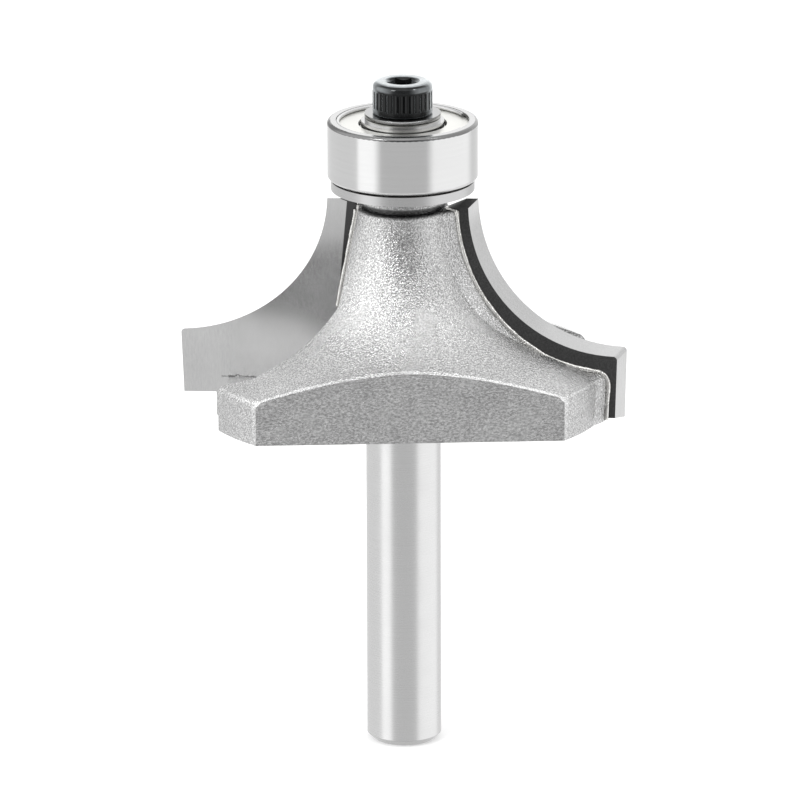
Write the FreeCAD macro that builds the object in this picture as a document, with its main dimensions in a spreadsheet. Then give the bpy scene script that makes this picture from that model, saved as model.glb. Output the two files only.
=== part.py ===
"""Two-flute round-over router bit with a ball bearing guide, standing on the end of its shank.

Millimetres and degrees. The origin is the centre of the shank's end face and +Z runs up the
axis of rotation to the guide bearing. The first wing points along +X, the second along -X.
Seen from the bearing the bit turns counter-clockwise, so the first wing cuts towards +Y.
"""
import FreeCAD, Part
import math
import os

import Sketcher

# Driving sizes

SIZES = [
    # shank
    ("shank_dia", 6.35),
    ("shank_length", 29.78),
    ("foot_chamfer", 0.54),
    # hub and lugs, turned profile away from the tips
    ("rim_inset", 1.75),
    ("rim_height", 3.64),
    ("rim_edge_radius", 0.35),
    ("cone_angle", 21.85),
    ("bell_offset", 1.21),
    ("bell_inset", 1.21),
    ("bell_drop", 0.2),
    ("hub_drop", 1.11),
    ("hub_edge", 0.44),
    # neck, guide seat and pilot above the hub
    ("neck_wall", 1.5),
    ("neck_taper", 0.44),
    ("neck_groove_depth", 0.42),
    ("neck_groove_height", 0.36),
    ("neck_height", 1.455),
    # cutting profile and tips
    ("cut_radius", 12.7),
    ("rim_land", 5.86),
    ("tip_below_body", 0.06),
    ("tip_thickness", 1.5),
    ("edge_offset", 1.33),
    ("edge_offset_drop", 10.03),
    ("shear_angle", 9.46),
    ("side_relief", 0.78),
    ("top_relief", 0.69),
    ("bottom_relief", 0.05),
    ("tip_corner", 0.35),
    ("tip_top_drop", 0.51),
    ("tip_land", 1.0),
    ("tip_shoulder_drop", 0.62),
    ("slot_neck_gap", 0.15),
    # braze joints
    ("braze_back", 0.12),
    ("braze_side", 0.2),
    ("braze_bead", 0.3),
    # backing of each tip, on the seat behind it
    ("back_inset", 1.3),
    ("back_height", 4.03),
    ("back_corner", 1.0),
    ("back_bell_offset", 2.02),
    ("back_top_inset", 1.6),
    ("back_top_edge", 0.55),
    ("back_span", 45.0),
    ("back_sink", 0.25),
    ("seat_core_margin", 0.8),
    ("far_core_margin", 0.5),
    # flats, gullets and rim facets
    ("flat_inset", 5.73),
    ("flat_turn", 6.3),
    ("gullet_floor", 1.33),
    ("gullet_top_inset", 0.23),
    ("gullet_lean", 10.75),
    ("gullet_wall_angle", 31.2),
    ("gullet_wall_distance", 1.33),
    ("gullet_bend_inset", 5.41),
    ("gullet_mouth_inset", 2.85),
    ("gullet_mouth_drop", 0.4),
    ("facet_inset", 2.3),
    # how far a cutting outline runs past what it cuts
    ("overcut", 1.0),
    # ball bearing, inch series
    ("bore_dia", 4.7625),
    ("guide_dia", 12.7),
    ("guide_width", 4.978),
    ("ring_edge", 0.3),
    ("ball_share", 0.6),
    ("ball_count", 7),
    ("race_play", 0.01),
    ("race_margin", 0.04),
    ("race_rise", 0.43),
    ("ring_step", 0.1),
    ("outer_rim_wall", 0.75),
    ("shield_recess", 0.32),
    ("shield_thickness", 0.24),
    ("shield_bore_gap", 0.235),
    ("shield_gap", 0.02),
    ("shield_play", 0.08),
    ("clip_wire", 0.3),
    ("clip_opening", 50.0),
    ("cage_sheet", 0.2),
    ("cage_band", 0.86),
    ("cage_play", 0.05),
    # washers, screw and its hole
    ("pilot_play", 0.012),
    ("pilot_short", 0.5),
    ("washer_inset", 0.3),
    ("washer_thickness", 0.78),
    ("washer_boss", 0.19),
    ("washer_play", 0.06),
    ("collar_rim", 0.82),
    ("collar_thickness", 0.62),
    ("thread_dia", 3.175),
    ("thread_play", 0.015),
    ("thread_length", 9.5),
    ("thread_spare", 1.2),
    ("thread_chamfer", 0.35),
    ("collar_play", 0.12),
    ("head_dia", 5.04),
    ("head_height", 2.75),
    ("head_round", 0.55),
    ("head_foot", 0.12),
    ("hex_width", 2.38),
    ("hex_depth", 1.5),
    ("hex_mouth", 0.28),
    ("hex_mouth_lap", 0.05),
    ("knurl_count", 30),
    ("knurl_depth", 0.09),
    ("knurl_low", 0.5),
    ("knurl_high", 2.0),
]

# Sizes that follow from the ones above

DERIVED = [
    ("shank_radius", "shank_dia / 2"),
    ("foot_radius", "shank_radius - foot_chamfer"),
    # cutting diameter: the guide's plus the radius on both sides
    ("cut_dia", "guide_dia + 2 * cut_radius"),
    ("tip_height", "cut_radius + rim_land"),
    ("hub_height", "tip_height - hub_drop"),
    ("rim_radius", "cut_dia / 2 - rim_inset"),
    ("bell_radius", "cut_radius + bell_offset"),
    # turned profile: the bell arc meets the cone where both have the same slope
    ("hub_z", "shank_length + hub_height"),
    ("rim_z", "shank_length + rim_height"),
    ("edge_z", "rim_z - rim_edge_radius"),
    ("edge_x", "rim_radius - rim_edge_radius"),
    ("edge_top_z", "rim_z + rim_edge_radius * tan(cone_angle)"),
    ("arc_z", "shank_length - tip_below_body + tip_height"),
    ("arc_x", "cut_dia / 2"),
    ("bell_x", "arc_x - bell_inset"),
    ("cone_x", "bell_x - bell_radius * sin(cone_angle)"),
    ("cone_z", "rim_z + (rim_radius - cone_x) * tan(cone_angle)"),
    ("bell_z", "hub_z - hub_edge"),
    ("bell_top_x", "bell_x - sqrt(bell_radius ^ 2 - (arc_z - bell_drop - bell_z) ^ 2)"),
    ("hub_top_x", "bell_top_x - hub_edge / 2"),
    ("groove_z", "hub_z + neck_groove_height"),
    ("seat_z", "hub_z + neck_height"),
    ("neck_base_radius", "bore_dia / 2 + neck_wall"),
    ("neck_top_radius", "neck_base_radius - neck_taper"),
    ("neck_groove_radius", "neck_base_radius - neck_groove_depth"),
    ("gullet_top_x", "neck_base_radius - gullet_top_inset"),
    # stack above the neck
    ("washer_top_z", "seat_z + washer_thickness"),
    ("ring_z", "washer_top_z + washer_boss"),
    ("ring_top_z", "ring_z + guide_width"),
    ("pilot_top_z", "ring_top_z - pilot_short"),
    ("collar_top_z", "ring_top_z + collar_thickness"),
    ("bore_radius", "bore_dia / 2"),
    ("pilot_radius", "bore_radius - pilot_play"),
    ("tap_radius", "thread_dia / 2 + thread_play"),
    ("screw_end_z", "collar_top_z - thread_length"),
    ("tap_z", "screw_end_z - thread_spare"),
    # tip, in its own plane: x outwards, w up the sheared plate from the reference height
    ("tip_low_z", "shank_length - tip_below_body"),
    ("ref_z", "arc_z - edge_offset_drop"),
    ("tip_top_w", "(edge_offset_drop - tip_top_drop) / cos(shear_angle)"),
    ("tip_low_w", "(tip_low_z - ref_z) / cos(shear_angle)"),
    ("tip_rim_w", "(arc_z - cut_radius - ref_z) / cos(shear_angle)"),
    ("tip_arc", "cut_radius * (1 + 1 / cos(shear_angle)) / 2"),
    ("top_y", "-edge_offset + tan(shear_angle) * (arc_z - tip_top_drop - ref_z)"),
    ("rim_y", "-edge_offset + tan(shear_angle) * (arc_z - cut_radius - ref_z)"),
    ("low_y", "-edge_offset + tan(shear_angle) * (tip_low_z - ref_z)"),
    ("tip_top_r", "arc_x - sqrt(cut_radius ^ 2 - tip_top_drop ^ 2)"),
    ("tip_top_x", "sqrt(tip_top_r ^ 2 - top_y ^ 2)"),
    ("tip_rim_x", "sqrt(arc_x ^ 2 - rim_y ^ 2)"),
    ("tip_low_x", "sqrt(arc_x ^ 2 - low_y ^ 2)"),
    ("tip_rim_in_x", "tip_rim_x - tip_corner"),
    ("tip_rim_down_w", "tip_rim_w - tip_corner"),
    ("tip_land_x", "tip_top_x - tip_land"),
    ("tip_inner_w", "tip_top_w - tip_shoulder_drop"),
    ("slot_inner_x", "gullet_top_x + (hub_z - ref_z - tip_inner_w * cos(shear_angle)) * tan(gullet_lean)"),
    ("slot_foot_x", "gullet_top_x + (hub_z - tip_low_z) * tan(gullet_lean)"),
    ("slot_back_foot_x", "slot_foot_x - bottom_relief * cos(shear_angle) * tan(gullet_lean)"),
    ("tip_inner_x", "slot_inner_x + braze_side"),
    ("tip_foot_x", "slot_foot_x + braze_side"),
    ("back_tip_foot_x", "slot_back_foot_x + braze_side"),
    # the same outline on the plate's back, moved by the relief angles
    ("back_tip_top_x", "tip_top_x - side_relief"),
    ("back_tip_top_w", "tip_top_w - top_relief"),
    ("back_tip_rim_x", "tip_rim_x - side_relief"),
    ("back_tip_rim_w", "tip_rim_w - top_relief"),
    ("back_tip_rim_in_x", "tip_rim_in_x - side_relief"),
    ("back_tip_rim_down_w", "tip_rim_down_w - top_relief"),
    ("back_tip_low_x", "tip_low_x - side_relief"),
    ("back_tip_low_w", "tip_low_w + bottom_relief"),
    ("back_tip_land_x", "tip_land_x - side_relief"),
    # seat plane behind the tip and its braze
    ("back_radius", "cut_dia / 2 - back_inset"),
    ("back_bell_radius", "cut_radius + back_bell_offset"),
    ("back_top_radius", "guide_dia / 2 - back_top_inset"),
    ("seat_depth", "tip_thickness + braze_back"),
    ("seat_origin_y", "ref_z + seat_depth * sin(shear_angle)"),
    ("seat_origin_z", "edge_offset + seat_depth * cos(shear_angle)"),
    ("seat_lean", "-shear_angle"),
    ("under_z", "shank_length - overcut"),
    ("over_z", "hub_z + overcut"),
    ("deep_z", "shank_length - 2 * overcut"),
    ("high_z", "hub_z + 2 * overcut"),
    ("seat_low_w", "(under_z - seat_origin_y) / cos(shear_angle)"),
    ("seat_rim_w", "(shank_length + back_height - seat_origin_y) / cos(shear_angle)"),
    ("seat_mid_w", "(back_mid_z - seat_origin_y) / cos(shear_angle)"),
    ("seat_bell_w", "(bell_z - seat_origin_y) / cos(shear_angle)"),
    ("seat_top_w", "(hub_z - seat_origin_y) / cos(shear_angle)"),
    ("seat_over_w", "(over_z - seat_origin_y) / cos(shear_angle)"),
    ("back_mid_r", "cone_x"),
    ("back_mid_z", "arc_z - sqrt(back_bell_radius ^ 2 - (arc_x - back_mid_r) ^ 2)"),
    ("seat_low_x", "sqrt(back_radius ^ 2 - (seat_origin_z - seat_low_w * sin(shear_angle)) ^ 2)"),
    ("seat_rim_x", "sqrt(back_radius ^ 2 - (seat_origin_z - seat_rim_w * sin(shear_angle)) ^ 2)"),
    ("seat_mid_x", "sqrt(back_mid_r ^ 2 - (seat_origin_z - seat_mid_w * sin(shear_angle)) ^ 2)"),
    ("seat_bell_x", "sqrt(back_top_radius ^ 2 - (seat_origin_z - seat_bell_w * sin(shear_angle)) ^ 2)"),
    ("seat_top_x", "seat_bell_x - back_top_edge"),
    ("seat_rim_in_x", "seat_rim_x - back_corner"),
    ("seat_rim_down_w", "seat_rim_w - back_corner"),
    # inner edges of the backing, clear of the line where its two end planes meet
    ("seat_cross_low", "seat_origin_z - seat_low_w * sin(shear_angle)"),
    ("seat_cross_over", "seat_origin_z - seat_over_w * sin(shear_angle)"),
    ("core_low_x", "seat_cross_low + seat_core_margin"),
    ("core_over_x", "seat_cross_over + seat_core_margin"),
    ("far_core_low_x", "seat_cross_low / sin(back_span) + far_core_margin"),
    ("far_core_over_x", "seat_cross_over / sin(back_span) + far_core_margin"),
    # far end of the backing, just inside the turned profile
    ("far_rim_x", "rim_radius - back_sink"),
    ("far_rim_z", "rim_z - back_sink"),
    ("far_edge_x", "far_rim_x - rim_edge_radius"),
    ("far_edge_z", "far_rim_z - rim_edge_radius"),
    ("far_cone_x", "cone_x - back_sink"),
    ("far_cone_z", "cone_z - back_sink"),
    ("far_bell_x", "bell_top_x - back_sink"),
    ("far_top_x", "hub_top_x - back_sink"),
    ("far_turn", "-back_span"),
    # pocket for tip and braze, drawn on the seat plane
    ("slot_deep_w", "tip_low_w - 2 * overcut"),
    ("slot_deep_x", "slot_foot_x + 2 * overcut * cos(shear_angle) * tan(gullet_lean)"),
    ("slot_neck_x", "neck_base_radius + slot_neck_gap"),
    ("slot_high_w", "tip_top_w + 2 * overcut"),
    # braze sheet behind the tip: the seat's outline plus the bead round it
    ("sheet_low_x", "seat_low_x + braze_bead"),
    ("sheet_rim_x", "seat_rim_x + braze_bead"),
    ("sheet_rim_w", "seat_rim_w + braze_bead"),
    ("sheet_corner", "back_corner + braze_bead"),
    ("sheet_mid_x", "seat_mid_x + braze_bead * sin(cone_angle)"),
    ("sheet_mid_w", "seat_mid_w + braze_bead * cos(cone_angle)"),
    ("sheet_arc", "back_bell_radius - braze_bead"),
    ("sheet_bell_x", "seat_bell_x + braze_bead"),
    ("sheet_bell_w", "tip_inner_w - braze_bead"),
    ("sheet_top_x", "tip_inner_x"),
    # gullet, in plan from the floor up to above the hub
    ("gullet_bend_x", "rim_radius - gullet_bend_inset"),
    ("gullet_mouth_x", "rim_radius - gullet_mouth_inset"),
    ("facet_x", "rim_radius - facet_inset"),
    ("floor_z", "shank_length + gullet_floor"),
    ("gullet_open_z", "hub_z + 3 * overcut"),
    ("gullet_low_z", "shank_length - overcut"),
    ("gullet_floor_x", "gullet_top_x + (hub_z - floor_z) * tan(gullet_lean)"),
    ("gullet_open_x", "gullet_top_x + (hub_z - gullet_open_z) * tan(gullet_lean)"),
    ("gullet_wall_lift", "gullet_wall_distance / cos(gullet_wall_angle)"),
    ("floor_rake_y", "-edge_offset + tan(shear_angle) * (floor_z - ref_z)"),
    ("open_rake_y", "-edge_offset + tan(shear_angle) * (gullet_open_z - ref_z)"),
    ("low_rake_y", "-edge_offset + tan(shear_angle) * (gullet_low_z - ref_z)"),
    ("floor_corner_y", "gullet_floor_x * tan(gullet_wall_angle) + gullet_wall_lift"),
    ("open_corner_y", "gullet_open_x * tan(gullet_wall_angle) + gullet_wall_lift"),
    ("gullet_bend_y", "gullet_bend_x * tan(gullet_wall_angle) + gullet_wall_lift"),
    ("gullet_mouth_y", "gullet_bend_y - gullet_mouth_drop"),
    ("gullet_out_x", "rim_radius + 6 * overcut"),
    ("facet_far_y", "gullet_mouth_y + 3 * overcut"),
    # flats
    ("flat_out", "rim_radius + 6 * overcut"),
    ("flat_distance", "rim_radius - flat_inset"),
    ("flat_cut_height", "rim_height + 4 * overcut"),
    # bearing
    ("pitch_radius", "(guide_dia + bore_dia) / 4"),
    # a ball takes its share of the height between bore and outside
    ("ball_dia", "ball_share * (guide_dia - bore_dia) / 2"),
    ("ball_radius", "ball_dia / 2"),
    ("guide_radius", "guide_dia / 2"),
    ("mid_z", "ring_z + guide_width / 2"),
    ("groove_radius", "ball_radius + race_margin"),
    ("inner_race_radius", "pitch_radius - ball_radius - race_play"),
    ("outer_race_radius", "pitch_radius + ball_radius + race_play"),
    ("inner_land_radius", "inner_race_radius + race_rise"),
    ("outer_land_radius", "outer_race_radius - race_rise"),
    ("inner_end_radius", "inner_land_radius - ring_step"),
    ("outer_end_radius", "guide_radius - outer_rim_wall"),
    ("inner_groove_x", "inner_race_radius + groove_radius"),
    ("outer_groove_x", "outer_race_radius - groove_radius"),
    ("inner_groove_half", "sqrt(groove_radius ^ 2 - (inner_groove_x - inner_land_radius) ^ 2)"),
    ("outer_groove_half", "sqrt(groove_radius ^ 2 - (outer_land_radius - outer_groove_x) ^ 2)"),
    ("cage_pocket_radius", "ball_radius + cage_play"),
    ("cage_shell_radius", "cage_pocket_radius + cage_sheet"),
    ("cage_in_radius", "pitch_radius - cage_band / 2"),
    ("cage_out_radius", "pitch_radius + cage_band / 2"),
    ("cage_clear_radius", "guide_radius + overcut"),
    ("cage_web_z", "cage_sheet"),
    ("cage_clear_z", "cage_shell_radius + overcut"),
    ("end_step", "shield_recess + shield_thickness"),
    ("ring_low_step_z", "ring_z + end_step"),
    ("ring_high_step_z", "ring_top_z - end_step"),
    ("inner_low_step_z", "ring_low_step_z + shield_play"),
    ("inner_high_step_z", "ring_high_step_z - shield_play"),
    ("ring_low_edge_z", "ring_z + ring_edge"),
    ("ring_high_edge_z", "ring_top_z - ring_edge"),
    ("bore_edge_x", "bore_radius + ring_edge"),
    ("guide_edge_x", "guide_radius - ring_edge"),
    ("inner_groove_low_z", "mid_z - inner_groove_half"),
    ("inner_groove_high_z", "mid_z + inner_groove_half"),
    ("outer_groove_low_z", "mid_z - outer_groove_half"),
    ("outer_groove_high_z", "mid_z + outer_groove_half"),
    ("shield_bore_radius", "inner_end_radius + shield_bore_gap"),
    ("shield_rim_radius", "outer_end_radius - shield_gap"),
    ("shield_low_z", "ring_z + shield_recess"),
    ("shield_high_z", "ring_top_z - shield_recess"),
    ("clip_radius", "outer_end_radius - clip_wire / 2"),
    ("clip_wire_radius", "clip_wire / 2"),
    ("clip_low_z", "shield_low_z - clip_wire_radius"),
    ("clip_high_z", "shield_high_z + clip_wire_radius"),
    ("clip_sweep", "360 - clip_opening"),
    # washers and screw
    ("washer_bore_radius", "pilot_radius + washer_play"),
    ("washer_radius", "guide_radius - washer_inset"),
    ("washer_boss_radius", "inner_end_radius"),
    ("collar_radius", "bore_radius + collar_rim"),
    ("collar_bore_radius", "thread_dia / 2 + collar_play"),
    ("thread_radius", "thread_dia / 2"),
    ("thread_tip_radius", "thread_radius - thread_chamfer"),
    ("thread_tip_z", "screw_end_z + thread_chamfer"),
    ("head_radius", "head_dia / 2"),
    ("head_foot_x", "head_radius - head_foot"),
    ("head_foot_z", "collar_top_z + head_foot"),
    ("head_top_z", "collar_top_z + head_height"),
    ("head_shoulder_z", "head_top_z - head_round"),
    ("head_face_x", "head_radius - head_round"),
    ("hex_corner", "hex_width / sqrt(3)"),
    ("hex_half", "hex_corner / 2"),
    ("hex_flat", "hex_width / 2"),
    ("mouth_x", "hex_flat + hex_mouth"),
    ("mouth_low_x", "hex_flat - hex_mouth_lap"),
    ("mouth_low_z", "head_top_z - hex_mouth - hex_mouth_lap"),
    ("mouth_high_z", "head_top_z + overcut / 2"),
    ("knurl_z", "collar_top_z + knurl_low"),
    ("knurl_length", "knurl_high - knurl_low"),
    ("knurl_root_x", "head_radius - knurl_depth"),
    ("knurl_out_x", "head_radius + knurl_depth"),
    ("knurl_half", "knurl_out_x * 3.1416 / knurl_count"),
]


class Sheet:
    """The document's table of sizes: driving numbers first, then the formulas on them."""

    def __init__(self, document):
        self.table = document.addObject("Spreadsheet::Sheet", "Sizes")
        for row, (alias, number) in enumerate(SIZES, start=1):
            self.add(row, alias, str(number))
        for row, (alias, formula) in enumerate(DERIVED, start=len(SIZES) + 1):
            self.add(row, alias, "=" + formula)
        document.recompute()

    def add(self, row, alias, content):
        self.table.set("A%d" % row, alias)
        self.table.set("B%d" % row, content)
        self.table.setAlias("B%d" % row, alias)

    def value(self, name):
        """The number that an alias holds; a leading minus turns its sign."""
        if name.startswith("-"):
            return -self.value(name[1:])
        return float(self.table.get(name))

    def formula(self, name):
        return "-Sizes." + name[1:] if name.startswith("-") else "Sizes." + name


doc = FreeCAD.newDocument("RouterBit")
sheet = Sheet(doc)
value = sheet.value
ZERO = "0"
X_AXIS = FreeCAD.Vector(1, 0, 0)
Y_AXIS = FreeCAD.Vector(0, 1, 0)
Z_AXIS = FreeCAD.Vector(0, 0, 1)


# Helpers for bodies and sketches


def new_body(name):
    body = doc.addObject("PartDesign::Body", name)
    body.Label = name
    return body


def origin_feature(body, role):
    return next(f for f in body.Origin.OriginFeatures if f.Role == role)


def new_sketch(body, name, plane="XZ_Plane", axis=None, turn=None, shift=None):
    """A sketch on one of the body's origin planes, turned about a local axis by a named angle
    and then moved to named places on the plane's own x, y and normal."""
    sketch = body.newObject("Sketcher::SketchObject", name)
    sketch.AttachmentSupport = (origin_feature(body, plane), [""])
    sketch.MapMode = "FlatFace"
    if axis is not None:
        rotation = FreeCAD.Rotation(axis, value(turn))
        sketch.AttachmentOffset = FreeCAD.Placement(FreeCAD.Vector(), rotation)
        sketch.setExpression("AttachmentOffset.Rotation.Angle", sheet.formula(turn))
    for letter, alias in (shift or {}).items():
        sketch.setExpression("AttachmentOffset.Base." + letter, sheet.formula(alias))
    return sketch


def number(name):
    return 0.0 if name == ZERO else value(name)


def pin_point(sketch, edge, end, place):
    """Ties one end of an edge to its named x and y."""
    for kind, axis_line, name in (("DistanceX", -2, place[0]), ("DistanceY", -1, place[1])):
        if name == ZERO:
            sketch.addConstraint(Sketcher.Constraint("PointOnObject", edge, end, axis_line))
            continue
        item = sketch.addConstraint(Sketcher.Constraint(kind, -1, 1, edge, end, number(name)))
        sketch.setExpression("Constraints[%d]" % item, sheet.formula(name))


def arc_between(start, end, radius, centre_left):
    """The short arc from start to end with its centre on the left or right of that way."""
    chord = end - start
    height = math.sqrt(radius**2 - chord.Length**2 / 4)
    side = FreeCAD.Vector(-chord.y, chord.x, 0).normalize() * height
    centre = (start + end) * 0.5 + (side if centre_left else -side)
    first, last = (start, end) if centre_left else (end, start)
    angles = [math.atan2(p.y - centre.y, p.x - centre.x) for p in (first, last)]
    return Part.ArcOfCircle(Part.Circle(centre, Z_AXIS, radius), angles[0], angles[1])


def draw_outline(sketch, places, arcs=None):
    """A closed outline through named places. arcs gives, for the edge that leaves a place,
    the name of its radius and whether its centre lies on the left of the way along it."""
    arcs = arcs or {}
    points = [FreeCAD.Vector(number(x), number(y), 0) for x, y in places]
    ends = []
    for index, start in enumerate(points):
        end = points[(index + 1) % len(points)]
        if index in arcs:
            radius, centre_left = arcs[index]
            edge = sketch.addGeometry(arc_between(start, end, value(radius), centre_left))
            ends.append((1, 2) if centre_left else (2, 1))
            item = sketch.addConstraint(Sketcher.Constraint("Radius", edge, value(radius)))
            sketch.setExpression("Constraints[%d]" % item, sheet.formula(radius))
        else:
            edge = sketch.addGeometry(Part.LineSegment(start, end))
            ends.append((1, 2))
    for index, place in enumerate(places):
        before = index - 1 if index else len(places) - 1
        joined = Sketcher.Constraint("Coincident", before, ends[before][1], index, ends[index][0])
        sketch.addConstraint(joined)
        pin_point(sketch, index, ends[index][0], place)


def revolve(body, sketch, name, groove=False):
    kind = "PartDesign::Groove" if groove else "PartDesign::Revolution"
    feature = body.newObject(kind, name)
    feature.Profile = sketch
    feature.ReferenceAxis = (sketch, ["V_Axis"])
    feature.Angle = 360
    return feature


def loft(body, sections, name, cut=False):
    kind = "PartDesign::SubtractiveLoft" if cut else "PartDesign::AdditiveLoft"
    feature = body.newObject(kind, name)
    feature.Profile = sections[0]
    feature.Sections = sections[1:]
    feature.Ruled = True
    return feature


def pocket(body, sketch, name, length, backwards=False):
    feature = body.newObject("PartDesign::Pocket", name)
    feature.Profile = sketch
    feature.setExpression("Length", sheet.formula(length))
    feature.Reversed = backwards
    return feature


def repeat(body, features, name, count=None):
    """Repeats features round the body's Z axis: twice, or a named number of times."""
    pattern = body.newObject("PartDesign::PolarPattern", name)
    pattern.Originals = features
    pattern.Axis = (origin_feature(body, "Z_Axis"), [""])
    pattern.Angle = 360
    pattern.Occurrences = 2
    if count is not None:
        pattern.setExpression("Occurrences", sheet.formula(count))
    body.Tip = pattern
    return pattern


# Cutter body: shank, hub, lugs, neck and pilot in one piece


def make_cutter_body():
    body = new_body("cutter_body")
    turned = new_sketch(body, "TurnedProfile")
    draw_outline(
        turned,
        [
            (ZERO, ZERO),
            ("foot_radius", ZERO),
            ("shank_radius", "foot_chamfer"),
            ("shank_radius", "shank_length"),
            ("rim_radius", "shank_length"),
            ("rim_radius", "edge_z"),
            ("edge_x", "edge_top_z"),
            ("cone_x", "cone_z"),
            ("bell_top_x", "bell_z"),
            ("hub_top_x", "hub_z"),
            ("hub_top_x", "seat_z"),
            ("pilot_radius", "seat_z"),
            ("pilot_radius", "pilot_top_z"),
            ("tap_radius", "pilot_top_z"),
            ("tap_radius", "tap_z"),
            (ZERO, "tap_z"),
        ],
        {7: ("bell_radius", False), 8: ("hub_edge", True)},
    )
    revolve(body, turned, "TurnedBlank")

    seat_at = {"y": "seat_origin_y", "z": "seat_origin_z"}
    seat = new_sketch(body, "BackingAtSeat", axis=X_AXIS, turn="seat_lean", shift=seat_at)
    draw_outline(
        seat,
        [
            ("core_low_x", "seat_low_w"),
            ("seat_low_x", "seat_low_w"),
            ("seat_rim_x", "seat_rim_down_w"),
            ("seat_rim_in_x", "seat_rim_w"),
            ("seat_mid_x", "seat_mid_w"),
            ("seat_bell_x", "seat_bell_w"),
            ("seat_top_x", "seat_top_w"),
            ("seat_top_x", "seat_over_w"),
            ("core_over_x", "seat_over_w"),
        ],
        {
            2: ("back_corner", True),
            3: ("back_bell_radius", False),
            4: ("back_bell_radius", False),
            5: ("back_top_edge", True),
        },
    )
    far = new_sketch(body, "BackingFarEnd", axis=Y_AXIS, turn="far_turn")
    draw_outline(
        far,
        [
            ("far_core_low_x", "under_z"),
            ("far_rim_x", "under_z"),
            ("far_rim_x", "far_edge_z"),
            ("far_edge_x", "far_rim_z"),
            ("far_cone_x", "far_cone_z"),
            ("far_bell_x", "bell_z"),
            ("far_top_x", "hub_z"),
            ("far_top_x", "over_z"),
            ("far_core_over_x", "over_z"),
        ],
        {2: ("rim_edge_radius", True), 4: ("bell_radius", False)},
    )
    backing = loft(body, [seat, far], "TipBacking")
    repeat(body, [backing], "SecondBacking")
    underside = new_sketch(body, "UndersideSection")
    draw_outline(
        underside,
        [
            ("shank_radius", "deep_z"),
            ("flat_out", "deep_z"),
            ("flat_out", "shank_length"),
            ("shank_radius", "shank_length"),
        ],
    )
    revolve(body, underside, "UndersideFacing", groove=True)
    neck = new_sketch(body, "NeckSection")
    draw_outline(
        neck,
        [
            ("neck_groove_radius", "hub_z"),
            ("flat_out", "hub_z"),
            ("flat_out", "high_z"),
            ("neck_top_radius", "high_z"),
            ("neck_top_radius", "seat_z"),
            ("neck_base_radius", "groove_z"),
            ("neck_groove_radius", "groove_z"),
        ],
    )
    revolve(body, neck, "NeckTurning", groove=True)

    flat = new_sketch(
        body, "FlatPlan", plane="XY_Plane", axis=Z_AXIS, turn="flat_turn", shift={"z": "shank_length"}
    )
    draw_outline(
        flat,
        [
            ("-flat_out", "-flat_distance"),
            ("-flat_out", "-flat_out"),
            ("flat_out", "-flat_out"),
            ("flat_out", "-flat_distance"),
        ],
    )
    lug_flat = pocket(body, flat, "LugFlat", "flat_cut_height", backwards=True)

    plans = []
    for level, x_name, rake, corner in (
        ("floor_z", "gullet_floor_x", "floor_rake_y", "floor_corner_y"),
        ("gullet_open_z", "gullet_open_x", "open_rake_y", "open_corner_y"),
    ):
        plan = new_sketch(body, "GulletPlan" + str(len(plans) + 1), plane="XY_Plane", shift={"z": level})
        draw_outline(
            plan,
            [
                (x_name, rake),
                ("gullet_out_x", rake),
                ("gullet_out_x", "gullet_mouth_y"),
                ("gullet_mouth_x", "gullet_mouth_y"),
                ("gullet_bend_x", "gullet_bend_y"),
                (x_name, corner),
            ],
        )
        plans.append(plan)
    gullet = loft(body, plans, "Gullet", cut=True)

    plans = []
    for level, rake in (("gullet_low_z", "low_rake_y"), ("floor_z", "floor_rake_y")):
        plan = new_sketch(body, "FacetPlan" + str(len(plans) + 1), plane="XY_Plane", shift={"z": level})
        draw_outline(
            plan,
            [
                ("facet_x", rake),
                ("gullet_out_x", rake),
                ("gullet_out_x", "facet_far_y"),
                ("facet_x", "facet_far_y"),
            ],
        )
        plans.append(plan)
    facet = loft(body, plans, "RimFacet", cut=True)

    slot = new_sketch(body, "TipSlotOutline", axis=X_AXIS, turn="seat_lean", shift=seat_at)
    draw_outline(
        slot,
        [
            ("slot_deep_x", "slot_deep_w"),
            ("gullet_out_x", "slot_deep_w"),
            ("gullet_out_x", "slot_high_w"),
            ("slot_neck_x", "slot_high_w"),
            ("slot_neck_x", "tip_inner_w"),
            ("slot_inner_x", "tip_inner_w"),
        ],
    )
    tip_slot = pocket(body, slot, "TipSlot", "seat_depth")
    repeat(body, [lug_flat, gullet, facet, tip_slot], "SecondWing")
    return body


# Carbide tips and their braze, each drawn in the plane of its own rake face


def stand_on_wing(body, wing):
    """Leans a plate back by the shear angle and turns it to its wing, 0 or 1."""
    plate = (
        "placement(vector(0; -Sizes.edge_offset; Sizes.ref_z);"
        " rotation(vector(1; 0; 0); -Sizes.shear_angle))"
    )
    turn = "placement(vector(0; 0; 0); rotation(vector(0; 0; 1); %d))" % (180 * wing)
    body.setExpression("Placement", turn + " * " + plate)


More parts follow.
